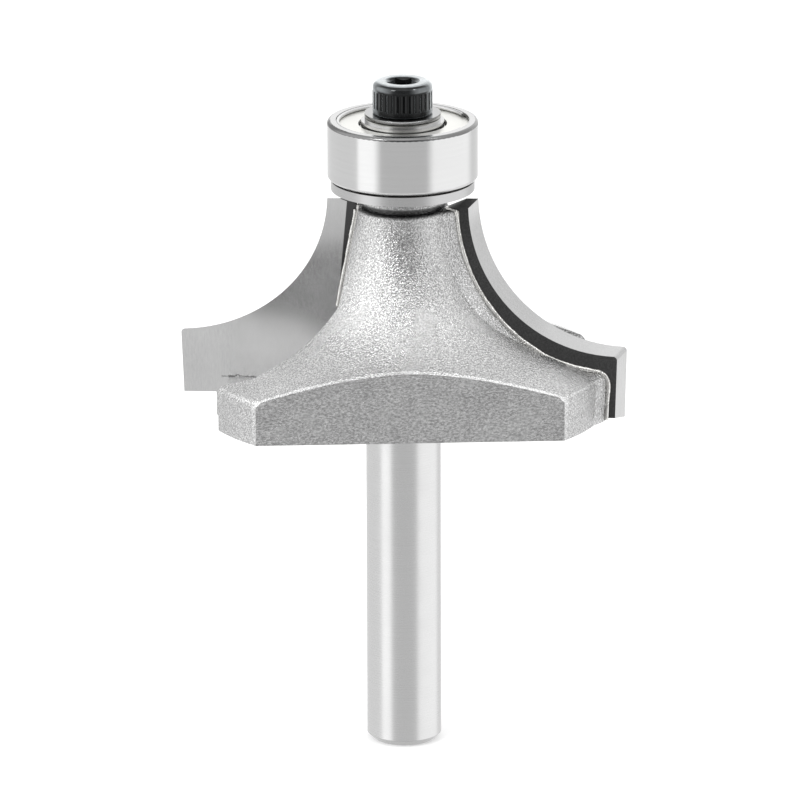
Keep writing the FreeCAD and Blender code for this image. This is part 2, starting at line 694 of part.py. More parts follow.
def make_tip(name, wing):
    body = new_body(name)
    rake = new_sketch(body, name + "_rake_face")
    draw_outline(
        rake,
        [
            ("tip_foot_x", "tip_low_w"),
            ("tip_low_x", "tip_low_w"),
            ("tip_rim_x", "tip_rim_down_w"),
            ("tip_rim_in_x", "tip_rim_w"),
            ("tip_top_x", "tip_top_w"),
            ("tip_land_x", "tip_top_w"),
            ("tip_inner_x", "tip_inner_w"),
        ],
        {2: ("tip_corner", True), 3: ("tip_arc", False)},
    )
    back = new_sketch(body, name + "_back_face", shift={"z": "tip_thickness"})
    draw_outline(
        back,
        [
            ("back_tip_foot_x", "back_tip_low_w"),
            ("back_tip_low_x", "back_tip_low_w"),
            ("back_tip_rim_x", "back_tip_rim_down_w"),
            ("back_tip_rim_in_x", "back_tip_rim_w"),
            ("back_tip_top_x", "back_tip_top_w"),
            ("back_tip_land_x", "back_tip_top_w"),
            ("tip_inner_x", "tip_inner_w"),
        ],
        {2: ("tip_corner", True), 3: ("tip_arc", False)},
    )
    loft(body, [rake, back], name + "_relief")
    stand_on_wing(body, wing)
    return body


def make_braze(name, wing):
    body = new_body(name)
    side = new_sketch(body, name + "_side_outline")
    draw_outline(
        side,
        [
            ("slot_back_foot_x", "back_tip_low_w"),
            ("back_tip_foot_x", "back_tip_low_w"),
            ("tip_inner_x", "tip_inner_w"),
            ("slot_inner_x", "tip_inner_w"),
        ],
    )
    leg = body.newObject("PartDesign::Pad", name + "_side")
    leg.Profile = side
    leg.setExpression("Length", sheet.formula("seat_depth"))
    back = new_sketch(body, name + "_back_outline", shift={"z": "tip_thickness"})
    draw_outline(
        back,
        [
            ("slot_back_foot_x", "back_tip_low_w"),
            ("sheet_low_x", "back_tip_low_w"),
            ("sheet_rim_x", "seat_rim_down_w"),
            ("seat_rim_in_x", "sheet_rim_w"),
            ("sheet_mid_x", "sheet_mid_w"),
            ("sheet_bell_x", "sheet_bell_w"),
            ("sheet_top_x", "tip_inner_w"),
            ("slot_inner_x", "tip_inner_w"),
        ],
        {2: ("sheet_corner", True), 3: ("sheet_arc", False), 4: ("sheet_arc", False)},
    )
    layer = body.newObject("PartDesign::Pad", name + "_back")
    layer.Profile = back
    layer.setExpression("Length", sheet.formula("braze_back"))
    stand_on_wing(body, wing)
    return body


# Bearing, washers and screw


def make_turned(name, places, arcs=None):
    """A piece turned round the Z axis from its half section."""
    body = new_body(name)
    section = new_sketch(body, name + "_section")
    draw_outline(section, places, arcs)
    revolve(body, section, name + "_turned")
    return body


def make_bearing_rings():
    inner = make_turned(
        "bearing_inner_ring",
        [
            ("bore_radius", "ring_low_edge_z"),
            ("bore_edge_x", "ring_z"),
            ("inner_end_radius", "ring_z"),
            ("inner_end_radius", "inner_low_step_z"),
            ("inner_land_radius", "inner_low_step_z"),
            ("inner_land_radius", "inner_groove_low_z"),
            ("inner_land_radius", "inner_groove_high_z"),
            ("inner_land_radius", "inner_high_step_z"),
            ("inner_end_radius", "inner_high_step_z"),
            ("inner_end_radius", "ring_top_z"),
            ("bore_edge_x", "ring_top_z"),
            ("bore_radius", "ring_high_edge_z"),
        ],
        {5: ("groove_radius", False)},
    )
    outer = make_turned(
        "bearing_outer_ring",
        [
            ("outer_end_radius", "ring_z"),
            ("guide_edge_x", "ring_z"),
            ("guide_radius", "ring_low_edge_z"),
            ("guide_radius", "ring_high_edge_z"),
            ("guide_edge_x", "ring_top_z"),
            ("outer_end_radius", "ring_top_z"),
            ("outer_end_radius", "ring_high_step_z"),
            ("outer_land_radius", "ring_high_step_z"),
            ("outer_land_radius", "outer_groove_high_z"),
            ("outer_land_radius", "outer_groove_low_z"),
            ("outer_land_radius", "ring_low_step_z"),
            ("outer_end_radius", "ring_low_step_z"),
        ],
        {1: ("ring_edge", True), 3: ("ring_edge", True), 8: ("groove_radius", False)},
    )
    return [inner, outer]


def make_shields_and_clips():
    pieces = []
    for side, low, high, clip_z in (
        ("lower", "shield_low_z", "ring_low_step_z", "clip_low_z"),
        ("upper", "ring_high_step_z", "shield_high_z", "clip_high_z"),
    ):
        outline = [
            ("shield_bore_radius", low),
            ("shield_rim_radius", low),
            ("shield_rim_radius", high),
            ("shield_bore_radius", high),
        ]
        pieces.append(make_turned("bearing_shield_" + side, outline))
        clip = doc.addObject("Part::Torus", "bearing_clip_" + side)
        clip.Label = clip.Name
        clip.setExpression("Radius1", sheet.formula("clip_radius"))
        clip.setExpression("Radius2", sheet.formula("clip_wire_radius"))
        clip.setExpression("Angle3", sheet.formula("clip_sweep"))
        clip.setExpression("Placement.Base.z", sheet.formula(clip_z))
        clip.Placement.Rotation = FreeCAD.Rotation(Z_AXIS, value("clip_opening") / 2)
        pieces.append(clip)
    return pieces


def make_balls():
    """The ball set, evenly spaced on the pitch circle."""
    balls = []
    for index in range(int(value("ball_count"))):
        ball = doc.addObject("Part::Sphere", "bearing_ball_%d" % (index + 1))
        ball.Label = ball.Name
        ball.setExpression("Radius", sheet.formula("ball_radius"))
        angle = "%d * 360 / Sizes.ball_count" % index
        ball.setExpression("Placement.Base.x", "Sizes.pitch_radius * cos(%s)" % angle)
        ball.setExpression("Placement.Base.y", "Sizes.pitch_radius * sin(%s)" % angle)
        ball.setExpression("Placement.Base.z", sheet.formula("mid_z"))
        balls.append(ball)
    return balls


def add_sphere(body, kind, name, radius):
    """A ball shape on the pitch circle, in the cage's own mid plane."""
    sphere = body.newObject(kind, name)
    sphere.AttachmentSupport = (origin_feature(body, "XY_Plane"), [""])
    sphere.MapMode = "FlatFace"
    sphere.setExpression("AttachmentOffset.Base.x", sheet.formula("pitch_radius"))
    sphere.setExpression("Radius", sheet.formula(radius))
    return sphere


def make_cage_half(name, turn):
    """A pressed ribbon: flat webs on the mid plane and a cup over half of each ball."""
    body = new_body(name)
    webs = new_sketch(body, name + "_web_section")
    draw_outline(
        webs,
        [
            ("cage_in_radius", ZERO),
            ("cage_out_radius", ZERO),
            ("cage_out_radius", "cage_web_z"),
            ("cage_in_radius", "cage_web_z"),
        ],
    )
    revolve(body, webs, name + "_webs")
    cup = add_sphere(body, "PartDesign::AdditiveSphere", name + "_cup", "cage_shell_radius")
    repeat(body, [cup], name + "_cups", "ball_count")
    trim = new_sketch(body, name + "_trim_section")
    draw_outline(
        trim,
        [
            ("thread_radius", "-cage_clear_z"),
            ("cage_clear_radius", "-cage_clear_z"),
            ("cage_clear_radius", "cage_clear_z"),
            ("cage_out_radius", "cage_clear_z"),
            ("cage_out_radius", ZERO),
            ("cage_in_radius", ZERO),
            ("cage_in_radius", "cage_clear_z"),
            ("thread_radius", "cage_clear_z"),
        ],
    )
    revolve(body, trim, name + "_trim", groove=True)
    room = add_sphere(body, "PartDesign::SubtractiveSphere", name + "_room", "cage_pocket_radius")
    repeat(body, [room], name + "_pockets", "ball_count")
    place = "placement(vector(0; 0; Sizes.mid_z); rotation(vector(1; 0; 0); %d))" % turn
    body.setExpression("Placement", place)
    return body


def make_washers():
    spacer = make_turned(
        "bearing_washer",
        [
            ("washer_bore_radius", "seat_z"),
            ("washer_radius", "seat_z"),
            ("washer_radius", "washer_top_z"),
            ("washer_boss_radius", "washer_top_z"),
            ("washer_boss_radius", "ring_z"),
            ("washer_bore_radius", "ring_z"),
        ],
    )
    collar = make_turned(
        "screw_washer",
        [
            ("collar_bore_radius", "ring_top_z"),
            ("collar_radius", "ring_top_z"),
            ("collar_radius", "collar_top_z"),
            ("collar_bore_radius", "collar_top_z"),
        ],
    )
    return [spacer, collar]


def make_screw():
    body = make_turned(
        "cap_screw",
        [
            (ZERO, "screw_end_z"),
            ("thread_tip_radius", "screw_end_z"),
            ("thread_radius", "thread_tip_z"),
            ("thread_radius", "collar_top_z"),
            ("head_foot_x", "collar_top_z"),
            ("head_radius", "head_foot_z"),
            ("head_radius", "head_shoulder_z"),
            ("head_face_x", "head_top_z"),
            (ZERO, "head_top_z"),
        ],
        {6: ("head_round", True)},
    )
    notch = new_sketch(body, "knurl_notch", plane="XY_Plane", shift={"z": "knurl_z"})
    draw_outline(
        notch,
        [("knurl_root_x", ZERO), ("knurl_out_x", "-knurl_half"), ("knurl_out_x", "knurl_half")],
    )
    groove = pocket(body, notch, "knurl_groove", "knurl_length", backwards=True)
    repeat(body, [groove], "knurl", "knurl_count")
    hexagon = new_sketch(body, "hex_outline", plane="XY_Plane", shift={"z": "head_top_z"})
    draw_outline(
        hexagon,
        [
            ("hex_corner", ZERO),
            ("hex_half", "hex_flat"),
            ("-hex_half", "hex_flat"),
            ("-hex_corner", ZERO),
            ("-hex_half", "-hex_flat"),
            ("hex_half", "-hex_flat"),
        ],
    )
    pocket(body, hexagon, "hex_socket", "hex_depth")
    mouth = new_sketch(body, "mouth_section")
    draw_outline(
        mouth,
        [
            (ZERO, "mouth_low_z"),
            ("mouth_low_x", "mouth_low_z"),
            ("mouth_x", "head_top_z"),
            ("mouth_x", "mouth_high_z"),
            (ZERO, "mouth_high_z"),
        ],
    )
    revolve(body, mouth, "socket_mouth", groove=True)
    return body


pieces = [make_cutter_body()]
for wing, letter in enumerate("ab"):
    pieces.append(make_tip("carbide_tip_" + letter, wing))
    pieces.append(make_braze("braze_" + letter, wing))
pieces += make_washers()
pieces += make_bearing_rings()
pieces += make_shields_and_clips()
pieces += make_balls()
pieces.append(make_cage_half("bearing_cage_upper", 0))
pieces.append(make_cage_half("bearing_cage_lower", 180))
pieces.append(make_screw())
doc.recompute()

# Every feature must have computed, and every piece must be sound, before a file is written

for item in doc.Objects:
    if "Invalid" in item.State or "Error" in item.State:
        raise RuntimeError("%s failed: %s" % (item.Name, item.State))
for piece in pieces:
    if piece.Shape.isNull() or not piece.Shape.isValid():
        raise RuntimeError("%s has no sound solid" % piece.Label)

os.makedirs("parts", exist_ok=True)
for piece in pieces:
    piece.Shape.exportStep("parts/%s.step" % piece.Label)
    print("%-22s %9.3f mm3, %d solid" % (piece.Label, piece.Shape.Volume, len(piece.Shape.Solids)))
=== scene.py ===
# %% [markdown]
# # A round-over router bit
# This bit rounds the edge of a board. Its two carbide wings cut a quarter circle of 12.7 mm
# radius, while the ball bearing above them rolls along the wood. The solids come from an exact
# model, already in their real size and place. They could be modelled again here, but the two
# models would soon differ, so this lesson only dresses them: it gives them metal finishes, adds
# the solder that brazing squeezes out, and lights the bit as for a catalogue page. Lengths are
# in metres, and +Z runs up the bit from the end of the shank.

# %% Load the model
import bmesh
import bpy
import math
from mathutils import Matrix, Vector


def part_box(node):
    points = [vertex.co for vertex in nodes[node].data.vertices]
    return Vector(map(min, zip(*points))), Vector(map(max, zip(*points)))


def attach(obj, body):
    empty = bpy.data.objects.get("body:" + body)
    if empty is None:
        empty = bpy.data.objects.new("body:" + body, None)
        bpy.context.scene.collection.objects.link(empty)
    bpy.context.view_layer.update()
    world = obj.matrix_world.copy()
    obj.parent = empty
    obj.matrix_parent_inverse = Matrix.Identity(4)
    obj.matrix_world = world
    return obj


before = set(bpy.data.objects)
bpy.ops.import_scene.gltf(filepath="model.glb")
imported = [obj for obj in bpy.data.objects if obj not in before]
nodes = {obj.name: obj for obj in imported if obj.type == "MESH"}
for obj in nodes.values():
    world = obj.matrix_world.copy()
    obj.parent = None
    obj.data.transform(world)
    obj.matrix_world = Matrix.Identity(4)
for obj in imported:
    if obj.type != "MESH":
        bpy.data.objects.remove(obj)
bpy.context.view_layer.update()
MM = 0.001

# %% [markdown]
# ## Places that several finishes share
# A finish starts or stops at a place on the metal: the grinding ends where the lugs begin, and a
# highlight is painted on the screw's shoulder. Faces could be picked by hand in the editor, but
# they would have to be picked again after each change of the model.

# %% Shared places
SHANK_TOP = 29.78 * MM
RIM_TOP = 33.42 * MM
HUB_TOP = 47.23 * MM
SHEAR = math.radians(9.46)
BEARING_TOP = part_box("bearing_outer_ring")[1].z
COLLAR_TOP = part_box("screw_washer")[1].z
HEAD_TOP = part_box("cap_screw")[1].z
print("bearing, collar and screw end at",
      [round(top / MM, 2) for top in (BEARING_TOP, COLLAR_TOP, HEAD_TOP)])

# %% [markdown]
# ## Building materials from nodes
# Bare metal is never quite even: blasting dents it, grinding scores it and fingers rub it. A
# picture of such marks would have to be wrapped round every piece. Noise on a piece's own
# Object coordinates needs no wrapping and stays on the metal from every side, so each finish
# here is a Principled shader fed by a few noise nodes. These helpers add a node and join it up,
# so that a finish reads like a short recipe.


# %% Add a node, and feed a socket
def add(tree, kind, **settings):
    node = tree.nodes.new(kind)
    for name, value in settings.items():
        setattr(node, name, value)
    return node


def feed(tree, target, source):
    """Join a socket to what feeds it, or set it to a plain value."""
    if isinstance(source, bpy.types.NodeSocket):
        tree.links.new(source, target)
    else:
        target.default_value = source


print("helpers:", add.__name__, feed.__name__)


# %% Sums on values that change over the surface
def maths(tree, operation, *sources):
    node = add(tree, "ShaderNodeMath", operation=operation)
    for socket, source in zip(node.inputs, sources):
        feed(tree, socket, source)
    return node.outputs[0]


def plus(tree, first, second):
    return maths(tree, "ADD", first, second)


def times(tree, first, second):
    return maths(tree, "MULTIPLY", first, second)


def remap(tree, source, low, high, new_low=0.0, new_high=1.0, smooth=False):
    """Turn the range low to high into new_low to new_high, and hold what lies outside."""
    curve = "SMOOTHSTEP" if smooth else "LINEAR"
    node = add(tree, "ShaderNodeMapRange", interpolation_type=curve)
    limits = {"Value": source, "From Min": low, "From Max": high,
              "To Min": new_low, "To Max": new_high}
    for name, value in limits.items():
        feed(tree, node.inputs[name], value)
    return node.outputs[0]


print("helpers:", maths.__name__, plus.__name__, times.__name__, remap.__name__)


# %% Masks
def spread(tree, pattern, low, high):
    """Noise mostly lies between 0.3 and 0.7, so that range is spread from low to high."""
    return remap(tree, pattern, 0.3, 0.7, low, high)


def band(tree, source, low, high, soft):
    """1 between low and high, fading to 0 over the soft width on both sides."""
    rise = remap(tree, source, low - soft, low, smooth=True)
    fall = remap(tree, source, high, high + soft, 1.0, 0.0, smooth=True)
    return times(tree, rise, fall)


def dim(tree, tone, mask, factor):
    """Multiply the tone by the factor where the mask is 1."""
    return times(tree, tone, remap(tree, mask, 0.0, 1.0, 1.0, factor))


print("helpers:", spread.__name__, band.__name__, dim.__name__)


# %% Places and noise on a piece
UP = (0, 0, 1)
ACROSS = (1, 0, 0)


def along(tree, place, axis):
    """How far a place lies along an axis."""
    node = add(tree, "ShaderNodeVectorMath", operation="DOT_PRODUCT")
    feed(tree, node.inputs[0], place)
    feed(tree, node.inputs[1], axis)
    return node.outputs["Value"]


def stretched(tree, place, scale):
    node = add(tree, "ShaderNodeMapping")
    feed(tree, node.inputs["Scale"], scale)
    feed(tree, node.inputs["Vector"], place)
    return node.outputs[0]


def noise(tree, place, scale, detail=2.0, rough=0.5):
    node = add(tree, "ShaderNodeTexNoise")
    given = {"Vector": place, "Scale": scale, "Detail": detail, "Roughness": rough}
    for name, value in given.items():
        feed(tree, node.inputs[name], value)
    return node.outputs["Fac"]


print("helpers:", along.__name__, stretched.__name__, noise.__name__)

# %% Colours and bumps
PLAIN = (1.0, 1.0, 1.0)
MIX_COLOUR_SOCKETS = (0, 6, 7)


def grey(value, tint=PLAIN):
    return tuple(value * part for part in tint) + (1.0,)


def blend(tree, factor, first, second, kind="MIX"):
    node = add(tree, "ShaderNodeMix", data_type="RGBA", blend_type=kind)
    for number, source in zip(MIX_COLOUR_SOCKETS, (factor, first, second)):
        feed(tree, node.inputs[number], source)
    return node.outputs[2]


def shade(tree, shader, tone, tint=PLAIN):
    """A tone that changes over the surface becomes the shader's colour."""
    feed(tree, shader.inputs["Base Color"], blend(tree, 1.0, grey(1.0, tint), tone, "MULTIPLY"))


def bump(tree, shader, height, depth, strength):
    node = add(tree, "ShaderNodeBump")
    given = {"Strength": strength, "Distance": depth, "Height": height}
    for name, value in given.items():
        feed(tree, node.inputs[name], value)
    feed(tree, shader.inputs["Normal"], node.outputs[0])


def new_metal(name, metallic=1.0):
    material = bpy.data.materials.new(name)
    material.use_nodes = True
    tree = material.node_tree
    shader = tree.nodes["Principled BSDF"]
    shader.inputs["Metallic"].default_value = metallic
    return material, tree, shader, add(tree, "ShaderNodeTexCoord").outputs["Object"]


print("helpers:", grey.__name__, blend.__name__, shade.__name__, bump.__name__, new_metal.__name__)

# %% [markdown]
# ## Two marks that several finishes share
# Blasting leaves tiny dents that sparkle, and grinding leaves fine lines along the wheel's way.
# The body, the shank and the sintered carbide are dented, and every ground piece has lines. The
# nodes could be copied into each material, but a node group is built once, has named inputs and
# outputs, and is placed wherever it is needed.


# %% Make and place a group
def new_group(name, inputs, outputs):
    group = bpy.data.node_groups.new(name, "ShaderNodeTree")
    for label, kind in inputs.items():
        group.interface.new_socket(label, in_out="INPUT", socket_type=kind)
    for label, kind in outputs.items():
        group.interface.new_socket(label, in_out="OUTPUT", socket_type=kind)
    return group, add(group, "NodeGroupInput").outputs, add(group, "NodeGroupOutput").inputs


def place_group(tree, group, **given):
    node = add(tree, "ShaderNodeGroup", node_tree=group)
    for name, source in given.items():
        feed(tree, node.inputs[name], source)
    return node.outputs


print("helpers:", new_group.__name__, place_group.__name__)


# %% Group: blasted grain
def blasted_grain():
    group, given, result = new_group(
        "blasted_grain", {"Vector": "NodeSocketVector", "Scale": "NodeSocketFloat"},
        {"Height": "NodeSocketFloat", "Sparkle": "NodeSocketFloat"})
    dimples = noise(group, given["Vector"], given["Scale"], 2.0, 0.45)
    pits = add(group, "ShaderNodeTexVoronoi", feature="SMOOTH_F1")
    feed(group, pits.inputs["Vector"], given["Vector"])
    feed(group, pits.inputs["Scale"], times(group, given["Scale"], 0.8))
    height = plus(group, dimples, times(group, pits.outputs["Distance"], 0.6))
    feed(group, result["Height"], height)
    feed(group, result["Sparkle"], remap(group, dimples, 0.35, 0.68, smooth=True))
    return group


GRAIN = blasted_grain()
print(GRAIN.name, "has", len(GRAIN.nodes), "nodes")


# %% Group: grinding lines
def grinding_lines():
    group, given, result = new_group(
        "grinding_lines", {"Vector": "NodeSocketVector"}, {"Height": "NodeSocketFloat"})
    feed(group, result["Height"], noise(group, given["Vector"], 1.0, 4.0, 0.7))
    return group


LINES = grinding_lines()
print(LINES.name, "has", len(LINES.nodes), "nodes")

# %% [markdown]
# ## The blasted body
# The body is one piece of steel, shaped and then blasted, so it is a bright grey metal full of
# fine dents. The two milled flats keep a darker, scratchy grain, the edges round them are worn
# bright, and shade is painted as a dark line in the groove above the hub. The floors of the
# gullets take a rougher copy of the steel with light painted in as a lighter tone. The dents could
# be modelled, but there are many thousands of them, each hardly wider than a hair, so a shallow
# bump and a change of tone show them better.

# %% Where the flats and the worn edges are
FLAT_TURN = math.radians(6.3)
FLAT_DISTANCE = 11.57 * MM
FLAT_START = FLAT_DISTANCE - 0.01 * MM
EDGE_WIDTH, EDGE_WAVER, EDGE_FADE = 0.32 * MM, 0.13 * MM, 0.09 * MM
LUG_REACH = (16.7 * MM, 16.9 * MM)


def flats_and_edges(tree, place, height_up):
    """Two masks: the milled flats, and the edges that are worn bright."""
    reach = along(tree, place, (math.sin(FLAT_TURN), -math.cos(FLAT_TURN), 0))
    reach = maths(tree, "ABSOLUTE", reach)
    flat = remap(tree, reach, FLAT_DISTANCE - 0.03 * MM, FLAT_START)
    ragged = spread(tree, noise(tree, place, 1700.0, 3.0, 0.7), -EDGE_WAVER, EDGE_WAVER)
    flat_edge = plus(tree, reach, ragged)
    flat_edge = band(tree, flat_edge, FLAT_DISTANCE - EDGE_WIDTH, FLAT_START, EDGE_FADE)
    near_rim = remap(tree, height_up, RIM_TOP - 0.8 * MM, RIM_TOP, 0.3, 1.0)
    flat_edge = times(tree, flat_edge, near_rim)
    flat_edge = times(tree, flat_edge, maths(tree, "SUBTRACT", 1.0, flat))
    radius = add(tree, "ShaderNodeVectorMath", operation="LENGTH")
    feed(tree, radius.inputs[0], stretched(tree, place, (1, 1, 0)))
    rim_edge = band(tree, plus(tree, height_up, ragged), RIM_TOP - 0.1 * MM, RIM_TOP, 0.08 * MM)
    rim_edge = times(tree, rim_edge, remap(tree, radius.outputs["Value"], *LUG_REACH, 0.0, 0.5))
    return flat, maths(tree, "MAXIMUM", flat_edge, rim_edge)


print("the flats lie", round(2 * FLAT_DISTANCE / MM, 2), "mm apart")


# %% Blasted steel
def blasted_steel(name, roughness, painted_light=0.0):
    material, tree, shader, place = new_metal(name)
    height_up = along(tree, place, UP)
    flat, worn = flats_and_edges(tree, place, height_up)
    grain = place_group(tree, GRAIN, Vector=place, Scale=7800.0)
    scratches = noise(tree, stretched(tree, place, (4500, 4500, 6500)), 1.0, 3.0, 0.7)
    patches = noise(tree, place, 260.0)
    dents = remap(tree, grain["Sparkle"], 0.0, 1.0, 0.42, 0.72)
    tone = blend(tree, flat, dents, remap(tree, scratches, 0.32, 0.68, 0.3, 0.72))
    tone = plus(tree, tone, spread(tree, patches, -0.03, 0.03))
    tone = plus(tree, tone, times(tree, worn, 0.3))
    # Painted shade: the groove above the hub is darkened into a dark line.
    groove_shade = band(tree, height_up, HUB_TOP - 0.05 * MM, HUB_TOP + 0.4 * MM, 0.3 * MM)
    tone = dim(tree, tone, groove_shade, 0.14)
    # painted_light raises the tone where light is painted in, on the gullet floors.
    shade(tree, shader, plus(tree, tone, painted_light))
    uneven = spread(tree, patches, roughness - 0.05, roughness + 0.05)
    feed(tree, shader.inputs["Roughness"], uneven)
    bump(tree, shader, blend(tree, flat, grain["Height"], scratches), 0.09 * MM, 0.8)
    return material


BLASTED = blasted_steel("blasted_steel", 0.25)
# The gullet floors: rougher steel, with light painted in as a tone 0.4 higher.
PAINTED_LIT_GULLET = blasted_steel("gullet_steel_painted_light", 0.6, 0.4)
print(BLASTED.name, "and the rougher", PAINTED_LIT_GULLET.name, "made")

# %% [markdown]
# ## Ground and turned steel
# The shank, the bearing rings and the washers are finished in a lathe or a grinder, so their
# marks run round the axis. Anisotropic shading could draw the streaks but isn't used; noise
# squeezed along Z gives real lines instead, and they bend with the surface. Between some heights
# the steel is darker: on the foot's chamfer, on the bearing's top face and in the collar's groove,
# where a dark reflection line is painted. The blasting has also reached the top of the shank.


# %% Steel with its lines round the axis
BLAST_FADE = 0.5 * MM
DENT_WEIGHT = 12.0


def ground_round(name, tone, roughness, lines, depth=0.002 * MM, tint=PLAIN, darker=(),
                 blasted_from=None):
    """darker holds (low, high, soft, factor) for heights. lines is how fine the lines are."""
    material, tree, shader, place = new_metal(name)
    height_up = along(tree, place, UP)
    mark = place_group(tree, LINES, Vector=stretched(tree, place, (40, 40, lines)))["Height"]
    cloud = noise(tree, place, 500.0)
    rough = plus(tree, spread(tree, mark, -0.03, 0.05), roughness)
    feed(tree, shader.inputs["Roughness"], plus(tree, rough, spread(tree, cloud, -0.02, 0.03)))
    colour = spread(tree, mark, tone * 0.93, tone * 1.05)
    for low, high, soft, factor in darker:
        colour = dim(tree, colour, band(tree, height_up, low, high, soft), factor)
    surface = mark
    if blasted_from is not None:
        grain = place_group(tree, GRAIN, Vector=place, Scale=6900.0)
        reached = remap(tree, height_up, blasted_from - BLAST_FADE, blasted_from + BLAST_FADE,
                        smooth=True)
        dents = remap(tree, grain["Sparkle"], 0.0, 1.0, tone * 0.65, tone * 1.05)
        colour = blend(tree, reached, colour, dents)
        dented = times(tree, grain["Height"], reached)
        surface = maths(tree, "MULTIPLY_ADD", dented, DENT_WEIGHT, surface)
    shade(tree, shader, colour, tint)
    bump(tree, shader, surface, depth, 0.6)
    return material


print("recipe:", ground_round.__name__)

# %% Shank, washer, shield and wire
FOOT_CHAMFER = 0.54 * MM
CREAM = (1.0, 0.995, 0.955)
GROUND_SHANK = ground_round(
    "ground_shank", 0.66, 0.26, 30000.0, darker=[(-1.0 * MM, FOOT_CHAMFER, 0.04 * MM, 0.66)],
    blasted_from=SHANK_TOP - 0.9 * MM)
TURNED_WASHER = ground_round("turned_washer", 0.52, 0.28, 30000.0)
PRESSED_SHIELD = ground_round("pressed_shield", 0.7, 0.3, 20000.0, tint=CREAM)
SPRING_WIRE = ground_round("spring_wire", 0.6, 0.2, 20000.0)
print("made:", GROUND_SHANK.name, TURNED_WASHER.name, PRESSED_SHIELD.name, SPRING_WIRE.name)

# %% Bearing rings and collar
POLISHED_RING = ground_round(
    "polished_ring", 0.64, 0.14, 50000.0, 0.0006 * MM,
    darker=[(BEARING_TOP - 0.01 * MM, BEARING_TOP + 0.1 * MM, 0.01 * MM, 0.74)])
# A dark reflection is painted on the ring's rounded top edge as a darker tone.
RING_EDGE_REFLECTION = ground_round("ring_edge", 0.22, 0.2, 50000.0)
POLISHED_COLLAR = ground_round(
    "polished_collar", 0.68, 0.06, 50000.0, 0.0004 * MM,
    # Painted dark reflection line in the collar's groove.
    darker=[(BEARING_TOP + 0.26 * MM, BEARING_TOP + 0.32 * MM, 0.04 * MM, 0.2),
            (COLLAR_TOP - 0.03 * MM, COLLAR_TOP + 0.1 * MM, 0.02 * MM, 0.45)])
print("made:", POLISHED_RING.name, RING_EDGE_REFLECTION.name, POLISHED_COLLAR.name)

# %% [markdown]
# ## Carbide
# A tip is pressed powder, sintered until it is hard and nearly black. The wheel then grinds the
# rake face in front and the relief behind the edge to a satin grey, and leaves the back and the
# top as they were. It can't reach the strip of the rake face next to the hub, which stays dark,
# and where the tip meets the gullet's floor a thin dark joint shows. Both are masks in the
# material, because they have no thickness to model.

# %% What stays dark on a rake face
STRIP_TOP = 4.67 * MM
STRIP_LEAN = 0.097
TIP_TOP = 47.77 * MM
GULLET_FLOOR = 31.11 * MM
JOINT_ENDS = (15.4 * MM, 15.7 * MM)


def dark_on_rake(tree, place):
    """A mask of the strip that the wheel doesn't reach and of the joint at the gullet's floor."""
    across = maths(tree, "ABSOLUTE", along(tree, place, ACROSS))
    height_up = along(tree, place, UP)
    limit = maths(tree, "MULTIPLY_ADD", height_up, -STRIP_LEAN, STRIP_TOP + STRIP_LEAN * TIP_TOP)
    strip = remap(tree, maths(tree, "SUBTRACT", limit, across), -0.02 * MM, 0.03 * MM)
    wavy = spread(tree, noise(tree, place, 1500.0, 3.0, 0.7), -0.14 * MM, 0.14 * MM)
    joint = plus(tree, height_up, wavy)
    joint = band(tree, joint, GULLET_FLOOR + 0.05 * MM, GULLET_FLOOR + 0.12 * MM, 0.04 * MM)
    joint = times(tree, joint, remap(tree, across, *JOINT_ENDS, 1.0, 0.0))
    return maths(tree, "MAXIMUM", strip, times(tree, joint, 0.8))


print("the strip is", round(STRIP_TOP / MM, 2), "mm from the axis at the top")


# %% Ground carbide and sintered carbide
def ground_carbide(name, dark=None):
    material, tree, shader, place = new_metal(name)
    mark = place_group(tree, LINES, Vector=stretched(tree, place, (9000, 9000, 160)))["Height"]
    cloud = spread(tree, noise(tree, place, 300.0), -0.02, 0.02)
    tone = plus(tree, spread(tree, mark, 0.51, 0.58), cloud)
    if dark is not None:
        tone = dim(tree, tone, dark(tree, place), 0.12)
    shade(tree, shader, tone)
    feed(tree, shader.inputs["Roughness"], spread(tree, mark, 0.18, 0.27))
    bump(tree, shader, mark, 0.002 * MM, 0.5)
    return material


def sintered_carbide():
    material, tree, shader, place = new_metal("sintered_carbide", 0.6)
    grain = place_group(tree, GRAIN, Vector=place, Scale=9000.0)
    shade(tree, shader, remap(tree, grain["Sparkle"], 0.0, 1.0, 0.045, 0.07))
    shader.inputs["Roughness"].default_value = 0.5
    bump(tree, shader, grain["Height"], 0.01 * MM, 0.4)
    return material


RELIEF_CARBIDE = ground_carbide("ground_carbide")
RAKE_CARBIDE = ground_carbide("rake_face_carbide", dark_on_rake)
SINTERED = sintered_carbide()
print("made:", RELIEF_CARBIDE.name, RAKE_CARBIDE.name, SINTERED.name)

# %% [markdown]
# ## Braze
# The tips are brazed to the body with silver solder, which freezes bright and a little lumpy.
# It fills a thin gap that the model has as a solid of its own, so only its open edge shows. An
# even, polished metal would look like wire, so noise changes its height and its polish.


# %% Bright braze
def lumpy_braze():
    material, tree, shader, place = new_metal("bright_braze")
    shader.inputs["Base Color"].default_value = grey(0.9, (1.0, 0.99, 0.96))
    lumps = noise(tree, place, 2500.0, 3.0, 0.6)
    feed(tree, shader.inputs["Roughness"], spread(tree, lumps, 0.2, 0.4))
    bump(tree, shader, lumps, 0.12 * MM, 0.9)
    return material


BRAZE = lumpy_braze()
print(BRAZE.name, "made")

